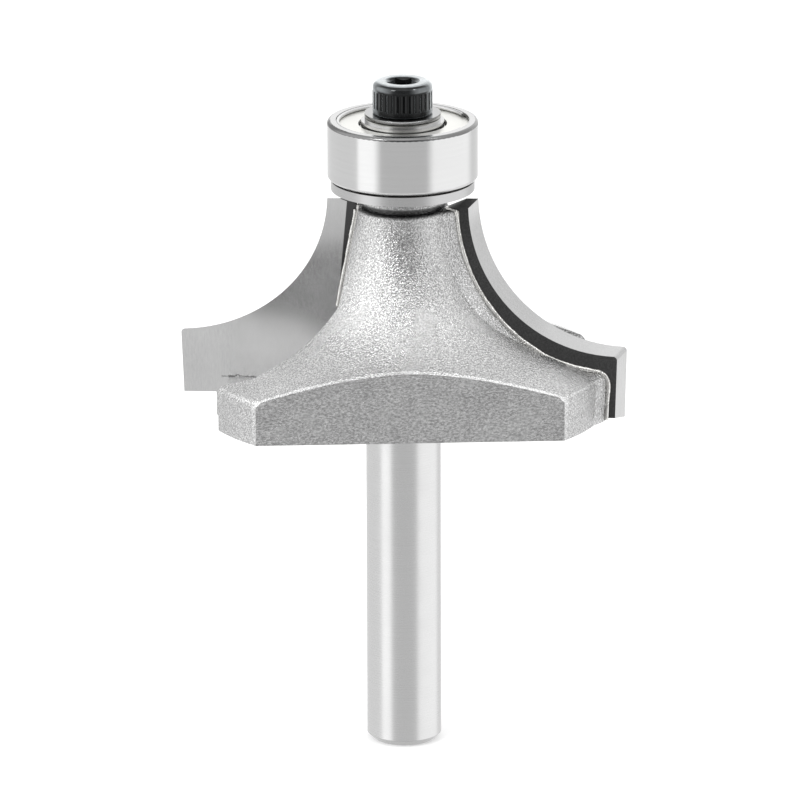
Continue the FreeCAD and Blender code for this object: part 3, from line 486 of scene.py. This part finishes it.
# %% [markdown]
# ## The black screw
# The screw's steel is blackened in a hot bath. Its colour is nearly black where one looks straight
# at it, and a painted sheen turns it grey at a slant. Highlights are painted on the shoulder at
# both sides and on the top face, and shade is painted in the grooves of the knurl, with the ribs
# lighter. The model has the ribs as true grooves, so the bump here only sharpens them. Layer
# Weight gives the slant, and it stays in the material itself because it can't be exported from
# inside a group.

# %% Black oxide
KNURL_RIBS = 30
KNURL = (COLLAR_TOP + 0.5 * MM, COLLAR_TOP + 2.0 * MM)
SHOULDER = (HEAD_TOP - 0.5 * MM, HEAD_TOP - 0.28 * MM)


def knurl_ribs(tree, place, height_up):
    """1 and -1 in turn round the head, and 0 off the knurl."""
    angle = maths(tree, "ARCTAN2", along(tree, place, (0, 1, 0)), along(tree, place, ACROSS))
    ribs = maths(tree, "COSINE", times(tree, angle, 2.0 * KNURL_RIBS))
    return times(tree, ribs, band(tree, height_up, *KNURL, 0.05 * MM))


def black_oxide():
    material, tree, shader, place = new_metal("black_oxide", 0.6)
    height_up = along(tree, place, UP)
    cloud = noise(tree, place, 1800.0, 3.0, 0.6)
    ribs = knurl_ribs(tree, place, height_up)
    # Painted sheen: the colour turns lighter at a slant, as steel reflects more there.
    slant_sheen = add(tree, "ShaderNodeLayerWeight").outputs["Facing"]
    tone = remap(tree, slant_sheen, 0.38, 0.85, 0.012, 0.6)
    aside = maths(tree, "ABSOLUTE", along(tree, place, ACROSS))
    # Painted highlight on the shoulder, at both sides of the head.
    shoulder_highlight = times(tree, band(tree, height_up, *SHOULDER, 0.16 * MM),
                   remap(tree, aside, 0.7 * MM, 1.6 * MM, 0.03, 0.2))
    # Painted highlight on the top face.
    top_face_highlight = band(tree, height_up, HEAD_TOP - 0.03 * MM, HEAD_TOP + 0.1 * MM, 0.06 * MM)
    tone = maths(tree, "MAXIMUM", tone, shoulder_highlight)
    tone = maths(tree, "MAXIMUM", tone, times(tree, top_face_highlight, 0.36))
    tone = times(tree, tone, spread(tree, cloud, 0.8, 1.2))
    # Painted shade in the grooves of the knurl, with the ribs between them lighter.
    tone = times(tree, tone, remap(tree, ribs, -1.0, 1.0, 1.5, 0.5))
    shade(tree, shader, tone, (0.94, 1.0, 1.03))
    feed(tree, shader.inputs["Roughness"], spread(tree, cloud, 0.08, 0.16))
    height = maths(tree, "MULTIPLY_ADD", ribs, -0.5, times(tree, cloud, 0.15))
    bump(tree, shader, height, 0.05 * MM, 0.6)
    return material


BLACK_OXIDE = black_oxide()
print(BLACK_OXIDE.name, "made, with", KNURL_RIBS, "ribs")

# %% [markdown]
# ## Giving each piece its finish
# On the real bit one piece can have several finishes: the body is blasted above and ground
# below, and a tip is ground in front and sintered behind. The pieces could be cut apart, but
# they are one solid each. So a piece gets a material slot for each of its finishes, and every
# face takes the slot that suits where it lies and which way it looks.


# %% Fill the slots of a piece
def dress(name, *materials, choose=None):
    mesh = nodes[name].data
    mesh.materials.clear()
    for material in materials:
        mesh.materials.append(material)
    if choose is not None:
        for face in mesh.polygons:
            face.material_index = choose(face)
    taken = [face.material_index for face in mesh.polygons]
    print(name, "has", [taken.count(slot) for slot in range(len(materials))], "faces in its slots")


print("helper:", dress.__name__)


# %% The body
SHANK_REACH = 3.3 * MM
FLOOR_BELOW = RIM_TOP - 1.0 * MM
LOOKS_THAT_WAY = 0.9


def body_finish(face):
    """0 for the blasted skin, 1 for the ground shank, 2 for the floors of the gullets."""
    if face.center.z < SHANK_TOP - 0.01 * MM and face.center.xy.length < SHANK_REACH:
        return 1
    return 2 if face.normal.z > LOOKS_THAT_WAY and face.center.z < FLOOR_BELOW else 0


dress("cutter_body", BLASTED, GROUND_SHANK, PAINTED_LIT_GULLET, choose=body_finish)


# %% The tips
def tip_finish(side):
    """0 for the relief, 1 for the sintered back and top, 2 for the rake face."""
    rake = Vector((0, math.cos(SHEAR) * side, -math.sin(SHEAR)))

    def choose(face):
        if face.normal.dot(rake) < -LOOKS_THAT_WAY:
            return 1
        if face.normal.z > 0.8 and face.center.z > HUB_TOP:
            return 1
        return 2 if face.normal.dot(rake) > LOOKS_THAT_WAY else 0

    return choose


dress("carbide_tip_a", RELIEF_CARBIDE, SINTERED, RAKE_CARBIDE, choose=tip_finish(1))
dress("carbide_tip_b", RELIEF_CARBIDE, SINTERED, RAKE_CARBIDE, choose=tip_finish(-1))

# %% The outer ring, with a dark reflection painted on its rounded top edge
RING_ROUND = 0.31 * MM
RING_EDGE_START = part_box("bearing_outer_ring")[1].x - RING_ROUND


def ring_finish(face):
    """1 on the rounded top edge of the outer ring, where a dark reflection is painted, 0
    elsewhere.
    """
    at_edge = face.center.z > BEARING_TOP - RING_ROUND and face.center.xy.length > RING_EDGE_START
    return 1 if at_edge and 0.05 < face.normal.z < 0.99 else 0


dress("bearing_outer_ring", POLISHED_RING, RING_EDGE_REFLECTION, choose=ring_finish)

# %% All pieces with one finish
ONE_FINISH = {
    "braze": BRAZE,
    "bearing_washer": TURNED_WASHER,
    "bearing_inner_ring": POLISHED_RING,
    "bearing_ball": POLISHED_RING,
    "bearing_shield": PRESSED_SHIELD,
    "bearing_cage": PRESSED_SHIELD,
    "bearing_clip": SPRING_WIRE,
    "screw_washer": POLISHED_COLLAR,
    "cap_screw": BLACK_OXIDE,
}
for name in nodes:
    for start, material in ONE_FINISH.items():
        if name.startswith(start):
            dress(name, material)

# %% [markdown]
# ## Beads of solder
# When a tip is brazed on, some solder is squeezed out and freezes as a thin, lumpy bead round
# the seat and down the inner edge of the rake face. It could be a bump in a material, but a
# bead stands proud and catches the light, so it has to be a shape. A smooth curve with a round
# bevel gives an even tube, the points' own radius makes it thicker and thinner, and then it is
# made a mesh. All four beads are drawn on the tilted plate of a tip: across and up on the
# plate, and so deep behind its rake face.

# %% From the plate to the bit
RAKE_OFFSET = 1.33 * MM
RAKE_LEVEL = 38.25 * MM


def on_plate(radius, height, depth):
    """Radius and height in the bit, as across and up on a plate leaning at the shear angle."""
    rise = (height - RAKE_LEVEL - depth * math.sin(SHEAR)) / math.cos(SHEAR)
    aside = RAKE_OFFSET + depth * math.cos(SHEAR) - rise * math.sin(SHEAR)
    return Vector((math.sqrt(radius ** 2 - aside ** 2), rise))


def from_plate(point, depth, wing):
    """A place in the bit for a point on the plate. The second wing is half a turn further."""
    place = Vector((point.x, -RAKE_OFFSET, RAKE_LEVEL))
    place.y += point.y * math.sin(SHEAR) - depth * math.cos(SHEAR)
    place.z += point.y * math.cos(SHEAR) + depth * math.sin(SHEAR)
    return Matrix.Rotation(math.pi * wing, 3, "Z") @ place


origin = from_plate(Vector((0, 0)), 0, 0)
print("the plate's origin lies at", [round(part / MM, 2) for part in origin], "mm")


# %% Points on an arc
def arc_points(start, end, radius, steps, side):
    """Points from start to end on an arc whose centre is on the right (1) or left (-1)."""
    chord = end - start
    along_way = chord.normalized()
    across = Vector((along_way.y, -along_way.x)) * side
    centre = (start + end) / 2 + across * math.sqrt(radius ** 2 - chord.length_squared / 4)
    turn = 2 * math.asin(chord.length / 2 / radius) * side
    return [centre + Matrix.Rotation(-turn * step / steps, 2) @ (start - centre)
            for step in range(steps + 1)]


quarter = arc_points(Vector((0, 1)), Vector((1, 0)), 1.0, 2, 1)
print("the middle of a quarter arc lies at", [round(v, 3) for v in quarter[1]])

# %% The line round the seat
SEAT_DEPTH = 1.62 * MM
SEAT_RADIUS = 17.75 * MM
SEAT_RIM = 33.81 * MM
SEAT_CORNER = 1.0 * MM
SEAT_ARC = 14.72 * MM
SEAT_MIDDLE = (12.66 * MM, 35.02 * MM)
SEAT_TOP = (4.75 * MM, 46.79 * MM)
SEAT_TOP_EDGE = 0.55 * MM

low_end = on_plate(SEAT_RADIUS, SHANK_TOP + 0.1 * MM, SEAT_DEPTH)
rim = on_plate(SEAT_RADIUS, SEAT_RIM, SEAT_DEPTH)
below_rim = Vector((rim.x, rim.y - SEAT_CORNER))
inside_rim = Vector((rim.x - SEAT_CORNER, rim.y))
middle_point = on_plate(*SEAT_MIDDLE, SEAT_DEPTH)
top_point = on_plate(*SEAT_TOP, SEAT_DEPTH)
seat_line = [low_end.lerp(below_rim, step / 4) for step in range(4)]
seat_line += arc_points(below_rim, inside_rim, SEAT_CORNER, 4, -1)
seat_line += arc_points(inside_rim, middle_point, SEAT_ARC, 5, 1)[1:]
seat_line += arc_points(middle_point, top_point, SEAT_ARC, 16, 1)[1:]
seat_line += [top_point + Vector((-SEAT_TOP_EDGE * 0.3, SEAT_TOP_EDGE * 0.6))]
print(len(seat_line), "points round the seat")

# %% The line down the inner edge of the rake face
INNER_TOP = 3.65 * MM
INNER_LEAN = 0.19
INNER_DROP = (0.4 * MM, 9.4 * MM)
INNER_GAP = 0.26 * MM
INNER_POINTS = 14

inner_line = []
for step in range(INNER_POINTS):
    drop = INNER_DROP[0] + (INNER_DROP[1] - INNER_DROP[0]) * step / (INNER_POINTS - 1)
    across = INNER_TOP + INNER_LEAN * drop + INNER_GAP
    inner_line.append(Vector((across, (HUB_TOP - drop - RAKE_LEVEL) / math.cos(SHEAR))))
print(len(inner_line), "points down the inner edge")


# %% A tube of uneven thickness
def lumpy_tube(name, line, depth, wing, thickness):
    """The mesh of a round tube along a line on the plate."""
    curve = bpy.data.curves.new(name, "CURVE")
    curve.dimensions = "3D"
    curve.bevel_depth = thickness
    curve.bevel_resolution = 3
    curve.use_fill_caps = True
    curve.resolution_u = 6
    spline = curve.splines.new("NURBS")
    spline.points.add(len(line) - 1)
    for number, point in enumerate(line):
        swell = 0.2 * math.sin(2.3 * number + wing) + 0.12 * math.sin(5.1 * number)
        spline.points[number].co = (*from_plate(point, depth, wing), 1)
        spline.points[number].radius = 1.0 + swell
    spline.order_u = 3
    spline.use_endpoint_u = True
    drawn = bpy.data.objects.new(name + "_line", curve)
    mesh = bpy.data.meshes.new_from_object(drawn)
    mesh.name = name
    bpy.data.objects.remove(drawn)
    return mesh


print("recipe:", lumpy_tube.__name__)


# %% Close a tube and hand it over as a piece
def bead(name, line, depth, wing, thickness):
    mesh = lumpy_tube(name, line, depth, wing, thickness)
    shape = bmesh.new()
    shape.from_mesh(mesh)
    bmesh.ops.remove_doubles(shape, verts=shape.verts, dist=0.001 * MM)
    bmesh.ops.recalc_face_normals(shape, faces=shape.faces)
    for face in shape.faces:
        face.smooth = True
    shape.to_mesh(mesh)
    shape.free()
    mesh.materials.clear()
    mesh.materials.append(BRAZE)
    piece = bpy.data.objects.new(name, mesh)
    bpy.context.scene.collection.objects.link(piece)
    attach(piece, "cutter")
    print(name, "has", len(mesh.polygons), "faces")


print("recipe:", bead.__name__)


# %% Four beads
BEAD = 0.16 * MM
INNER_BEAD = 0.85 * BEAD
SEAT_BEAD_DEPTH = SEAT_DEPTH - 0.02 * MM
INNER_BEAD_DEPTH = -0.04 * MM

outward = []
for number, point in enumerate(seat_line):
    before = seat_line[max(number - 1, 0)]
    after = seat_line[min(number + 1, len(seat_line) - 1)]
    way = (after - before).normalized()
    outward.append(point + Vector((way.y, -way.x)) * BEAD)
for wing, letter in enumerate("ab"):
    bead("seat_bead_" + letter, outward, SEAT_BEAD_DEPTH, wing, BEAD)
    bead("inner_bead_" + letter, inner_line, INNER_BEAD_DEPTH, wing, INNER_BEAD)

# %% [markdown]
# ## Camera
# A catalogue picture is taken from far off with a long lens, which keeps the round forms nearly
# free of perspective. The camera stands about two thirds of a metre away, seventeen degrees
# above the bit and a little to its right. It could be aimed with a constraint, but three plain
# angles are easier to read: heading, pitch and a slight roll.

# %% Camera
CAMERA_PLACE = (0.0392851, -0.6460056, 0.2272511)
heading, pitch, roll = math.radians(3.50536), math.radians(16.94594), math.radians(-0.16864)
camera_data = bpy.data.cameras.new("catalogue_camera")
camera_data.sensor_width = 36
camera_data.lens = 359.588
camera_data.clip_start = 0.01
camera = bpy.data.objects.new("catalogue_camera", camera_data)
bpy.context.scene.collection.objects.link(camera)
bpy.context.scene.camera = camera
turn = Matrix.Rotation(heading, 4, "Z") @ Matrix.Rotation(math.pi / 2 - pitch, 4, "X")
turn = turn @ Matrix.Rotation(roll, 4, "Z")
camera.matrix_world = Matrix.Translation(CAMERA_PLACE) @ turn
print("camera at", [round(v, 3) for v in camera.location])

# %% [markdown]
# ## A studio tent
# Polished steel shows what stands round it more than its own colour. A photographer puts such
# work in a tent of white card, with gaps between the cards that give the dark streaks. Cards
# could be modelled as glowing planes, but they would throw noise and get in the camera's way.
# Here the world itself is the tent: one row of cards each for rays that go down, level and up,
# with its brightness written against the angle round the bit. Only the camera sees plain white.

# %% Directions in the tent
world = bpy.data.worlds.new("studio_tent")
bpy.context.scene.world = world
world.use_nodes = True
tent = world.node_tree
tent.nodes.clear()
direction = add(tent, "ShaderNodeTexCoord").outputs["Generated"]
right = along(tent, direction, (math.cos(heading), math.sin(heading), 0))
front = along(tent, direction, (math.sin(heading), -math.cos(heading), 0))
rise = along(tent, direction, UP)
turnround = maths(tent, "MULTIPLY_ADD", maths(tent, "ARCTAN2", right, front), 0.5 / math.pi, 0.5)
print("tent has", len(tent.nodes), "nodes so far")

# %% A row of cards
BRIGHTEST = 2.4


def cards(stops):
    """Greys round the horizon: stops are (degrees to the right of the camera, brightness)."""
    node = add(tent, "ShaderNodeValToRGB")
    elements = node.color_ramp.elements
    while len(elements) < len(stops):
        elements.new(0.5)
    for element, (degrees, brightness) in zip(elements, stops):
        element.position = degrees / 360 + 0.5
        element.color = grey(brightness / BRIGHTEST)
    feed(tent, node.inputs[0], turnround)
    return node.outputs[0]


deep = cards([
    (-180, 1.05), (-75, 1.1), (-45, 1.05), (-20, 0.98), (40, 0.98), (75, 1.1), (180, 1.05)])
low = cards([
    (-180, 1.1), (-163, 1.1), (-159, 0.92), (-75, 0.92), (-71, 1.5), (-45, 1.5), (-33, 0.7),
    (37, 0.7), (48, 1.33), (116, 1.33), (132, 0.9), (156, 0.9), (163, 1.1), (180, 1.1)])
level = cards([
    (-180, 1.42), (-169, 1.38), (-160, 0.6), (-132, 0.65), (-112, 1.45), (-90, 1.45), (-72, 1.4),
    (-45, 1.4), (-31, 0.4), (-10, 0.24), (10, 0.24), (32, 0.36), (52, 1.05), (100, 1.05),
    (120, 1.0), (150, 1.35), (180, 1.42)])
overhead = cards([
    (-180, 1.2), (-60, 1.25), (-25, 1.75), (25, 1.75), (60, 1.1), (130, 1.1), (180, 1.25)])
print("four rows of cards made")

# %% Rows one above the other, and white for the camera
glow = blend(tent, remap(tent, rise, -0.52, -0.4, smooth=True), deep, low)
glow = blend(tent, remap(tent, rise, -0.14, -0.02, smooth=True), glow, level)
glow = blend(tent, remap(tent, rise, 0.66, 0.84, smooth=True), glow, overhead)
cards_light = add(tent, "ShaderNodeBackground")
feed(tent, cards_light.inputs["Color"], glow)
feed(tent, cards_light.inputs["Strength"], BRIGHTEST)
white_ground = add(tent, "ShaderNodeBackground")
feed(tent, white_ground.inputs["Color"], grey(1.0))
choice = add(tent, "ShaderNodeMixShader")
sight = add(tent, "ShaderNodeLightPath")
for socket, source in zip(choice.inputs, (sight.outputs["Is Camera Ray"], cards_light.outputs[0],
                                          white_ground.outputs[0])):
    feed(tent, socket, source)
feed(tent, add(tent, "ShaderNodeOutputWorld").inputs[0], choice.outputs[0])
print("tent has", len(tent.nodes), "nodes")

# %% [markdown]
# ## Floor
# The bit stands on white paper that shows only a trace of shadow at its foot. A paper that is
# simply white would look grey in this light, so it glows a little for the camera. Reflections
# don't see the floor, because the tent's lowest row already stands for the paper there.

# %% Pale floor
mesh = bpy.data.meshes.new("floor")
shape = bmesh.new()
bmesh.ops.create_grid(shape, x_segments=1, y_segments=1, size=1.5)
shape.to_mesh(mesh)
shape.free()
floor = bpy.data.objects.new("floor", mesh)
bpy.context.scene.collection.objects.link(floor)
floor.visible_glossy = False
print("floor is", round(floor.dimensions.x, 2), "m wide")

# %% Paper that glows for the camera
PAPER_GLOW = 0.34
paper = bpy.data.materials.new("pale_floor")
paper.use_nodes = True
tree = paper.node_tree
shader = tree.nodes["Principled BSDF"]
shader.inputs["Base Color"].default_value = grey(0.8)
shader.inputs["Roughness"].default_value = 0.9
shader.inputs["Specular IOR Level"].default_value = 0.0
shader.inputs["Emission Color"].default_value = grey(1.0)
sight = add(tree, "ShaderNodeLightPath")
rays = sight.outputs["Is Camera Ray"], sight.outputs["Is Transmission Ray"]
seen = maths(tree, "MAXIMUM", *rays)
feed(tree, shader.inputs["Emission Strength"], times(tree, seen, PAPER_GLOW))
mesh.materials.append(paper)
print(paper.name, "made")

# %% [markdown]
# ## Lamps
# The tent alone would leave the blasted steel flat. Two small soft boxes, one to each side and
# above, make its dents sparkle and put a highlight on the shoulder of the screw. Their places
# are written as angles round the bit, as one would walk round it with a lamp.

# %% Two soft boxes
LAMP_DISTANCE = 0.6
AIM = Vector((0, 0, 0.045))
LAMP_LEVEL = 0.04


def soft_box(name, degrees_right, degrees_up, size, watts):
    """A lamp so many degrees to the right of the camera and above the floor, aimed at the hub."""
    azimuth = heading - math.pi / 2 + math.radians(degrees_right)
    lift = math.radians(degrees_up)
    away = Vector((math.cos(azimuth), math.sin(azimuth), 0)) * math.cos(lift)
    away.z = math.sin(lift)
    data = bpy.data.lights.new(name, "AREA")
    data.shape = "RECTANGLE"
    data.size, data.size_y = size
    data.energy = watts
    lamp = bpy.data.objects.new(name, data)
    bpy.context.scene.collection.objects.link(lamp)
    lamp.location = away * LAMP_DISTANCE + Vector((0, 0, LAMP_LEVEL))
    lamp.rotation_euler = (AIM - lamp.location).to_track_quat("-Z", "Y").to_euler()
    print(name, "at", [round(v, 2) for v in lamp.location])


soft_box("left_box", -42, 42, (0.14, 0.14), 0.65)
soft_box("right_box", 62, 50, (0.08, 0.1), 0.18)

# %% [markdown]
# ## Finish
# A catalogue picture has a clean white ground. Blender's own view bends the tones as film does
# and turns that ground grey, so the Standard view is chosen, which shows tones as they are. The
# beads of solder lie within the outline of the steel.

# %% View
bpy.context.scene.view_settings.view_transform = "Standard"
print("view is", bpy.context.scene.view_settings.view_transform)
